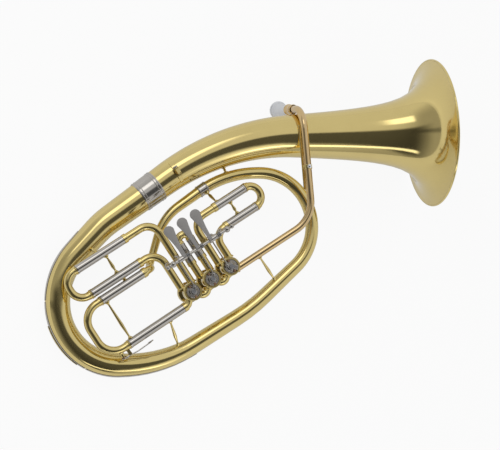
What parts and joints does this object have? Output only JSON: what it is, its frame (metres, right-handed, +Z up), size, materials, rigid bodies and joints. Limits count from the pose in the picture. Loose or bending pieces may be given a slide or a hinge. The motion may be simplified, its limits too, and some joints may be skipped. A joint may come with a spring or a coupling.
{
  "type": "alto horn",
  "caption": "Oval brass alto horn with rotary valves, finger levers, pull-out tuning slides, water key, flared bell and mouthpiece.",
  "frame": {"origin": "centre of the bounding box's bottom face; the horn lies on its bell's rim and on its left bow", "axes": "+X towards the bell's mouth, +Y from the lower bow to the bell's side, +Z up, with the valve levers on top"},
  "size_m": [0.563, 0.415, 0.2021],
  "materials": {
    "lacquer": "clear-lacquered yellow brass",
    "rose": "clear-lacquered rose brass",
    "nickel": "polished nickel silver",
    "matte": "satin nickel silver",
    "silver": "silver plate",
    "steel": "spring steel wire"
  },
  "bodies": {
    "horn": {"back_cap_1": "lacquer", "back_cap_2": "lacquer", "back_cap_3": "lacquer", "bearing_plate_1": "nickel", "bearing_plate_2": "nickel", "bearing_plate_3": "nickel", "bell": "lacquer", "bell_ferrule": "nickel", "bow_bumper": "nickel", "casing_1": "lacquer", "casing_2": "lacquer", "casing_3": "lacquer", "clip_holder": "lacquer", "clip_screw": "nickel", "first_lower_tube": "nickel", "first_upper_tube": "nickel", "hinge_rod": "nickel", "lead_pipe": "rose", "left_bow": "lacquer", "lever_spring_1": "steel", "lever_spring_2": "steel", "lever_spring_3": "steel", "loop_ferrule": "nickel", "loop_tail": "lacquer", "lower_branch": "lacquer", "lower_guard": "nickel", "main_lower_tube": "nickel", "main_upper_tube": "nickel", "pipe_bow_stay": "lacquer", "pipe_stay": "lacquer", "receiver": "nickel", "rod_post_left": "nickel", "rod_post_right": "nickel", "second_left_tube": "nickel", "second_right_tube": "nickel", "slide_bow_stay": "lacquer", "third_lower_tube": "nickel", "third_upper_tube": "nickel", "upper_guard": "nickel", "valve_link_1_2": "lacquer", "valve_link_2_3": "lacquer"},
    "lever_1": {"lever_1": "matte"},
    "rotor_1": {"rotor_1": "lacquer", "stop_arm_1": "nickel"},
    "link_1": {"link_rod_1": "nickel"},
    "lever_2": {"lever_2": "matte"},
    "rotor_2": {"rotor_2": "lacquer", "stop_arm_2": "nickel"},
    "link_2": {"link_rod_2": "nickel"},
    "lever_3": {"lever_3": "matte"},
    "rotor_3": {"rotor_3": "lacquer", "stop_arm_3": "nickel"},
    "link_3": {"link_rod_3": "nickel"},
    "main_slide": {"main_crook": "lacquer"},
    "third_slide": {"third_crook": "lacquer"},
    "first_slide": {"first_crook": "lacquer"},
    "second_slide": {"second_crook": "lacquer"},
    "water_key": {"water_key": "lacquer"},
    "mouthpiece": {"mouthpiece": "silver"}
  },
  "joints": [
    {"name": "lever_1_press", "type": "hinge", "parent": "horn", "child": "lever_1", "pos_m": [-0.07503, -0.0313, 0.11538], "axis": [-0.8551, -0.5, -0.1372], "range_deg": [0, 24.4], "stiffness_Nm_per_rad": 0.08, "springref_deg": -20.05},
    {"name": "rotor_1_turn", "type": "hinge", "parent": "horn", "child": "rotor_1", "pos_m": [-0.04617, -0.07029, 0.0776], "axis": [-0.1587, 0.0005, 0.9873], "range_deg": [0, 90]},
    {"name": "link_1_swing", "type": "hinge", "parent": "rotor_1", "child": "link_1", "pos_m": [-0.05537, -0.06873, 0.0983], "axis": [-0.1587, 0.0005, 0.9873], "range_deg": [-90, 0]},
    {"name": "lever_2_press", "type": "hinge", "parent": "horn", "child": "lever_2", "pos_m": [-0.10094, -0.04645, 0.11122], "axis": [-0.8551, -0.5, -0.1372], "range_deg": [0, 24.4], "stiffness_Nm_per_rad": 0.08, "springref_deg": -20.05},
    {"name": "rotor_2_turn", "type": "hinge", "parent": "horn", "child": "rotor_2", "pos_m": [-0.07208, -0.08544, 0.07344], "axis": [-0.1587, 0.0005, 0.9873], "range_deg": [-90, 0]},
    {"name": "link_2_swing", "type": "hinge", "parent": "rotor_2", "child": "link_2", "pos_m": [-0.07402, -0.07964, 0.09531], "axis": [-0.1587, 0.0005, 0.9873], "range_deg": [0, 90]},
    {"name": "lever_3_press", "type": "hinge", "parent": "horn", "child": "lever_3", "pos_m": [-0.12685, -0.0616, 0.10706], "axis": [-0.8551, -0.5, -0.1372], "range_deg": [0, 24.4], "stiffness_Nm_per_rad": 0.08, "springref_deg": -20.05},
    {"name": "rotor_3_turn", "type": "hinge", "parent": "horn", "child": "rotor_3", "pos_m": [-0.09799, -0.10059, 0.06928], "axis": [-0.1587, 0.0005, 0.9873], "range_deg": [-90, 0]},
    {"name": "link_3_swing", "type": "hinge", "parent": "rotor_3", "child": "link_3", "pos_m": [-0.09993, -0.09479, 0.09115], "axis": [-0.1587, 0.0005, 0.9873], "range_deg": [0, 90]},
    {"name": "main_slide_pull", "type": "slide", "parent": "horn", "child": "main_slide", "axis": [-0.8551, -0.5, -0.1372], "range_m": [0, 0.04]},
    {"name": "third_slide_pull", "type": "slide", "parent": "horn", "child": "third_slide", "axis": [-0.8551, -0.5, -0.1372], "range_m": [0, 0.04]},
    {"name": "first_slide_pull", "type": "slide", "parent": "horn", "child": "first_slide", "axis": [0.8551, 0.5, 0.1372], "range_m": [0, 0.025]},
    {"name": "second_slide_pull", "type": "slide", "parent": "horn", "child": "second_slide", "axis": [-0.4936, 0.866, -0.0798], "range_m": [0, 0.014]},
    {"name": "water_key_press", "type": "hinge", "parent": "main_slide", "child": "water_key", "pos_m": [-0.18111, -0.17646, 0.05595], "axis": [-0.1587, 0.0005, 0.9873], "range_deg": [0, 8], "stiffness_Nm_per_rad": 0.05, "springref_deg": -17.19},
    {"name": "mouthpiece_pull", "type": "slide", "parent": "horn", "child": "mouthpiece", "axis": [0.118, 0.1381, -0.9834], "range_m": [0, 0.03]}
  ],
  "couplings": [
    {"joint": "rotor_1_turn", "follows": "lever_1_press", "ratio": 3.6743},
    {"joint": "link_1_swing", "follows": "lever_1_press", "ratio": -3.6743},
    {"joint": "rotor_2_turn", "follows": "lever_2_press", "ratio": -3.6743},
    {"joint": "link_2_swing", "follows": "lever_2_press", "ratio": 3.6743},
    {"joint": "rotor_3_turn", "follows": "lever_3_press", "ratio": -3.6743},
    {"joint": "link_3_swing", "follows": "lever_3_press", "ratio": 3.6743}
  ]
}
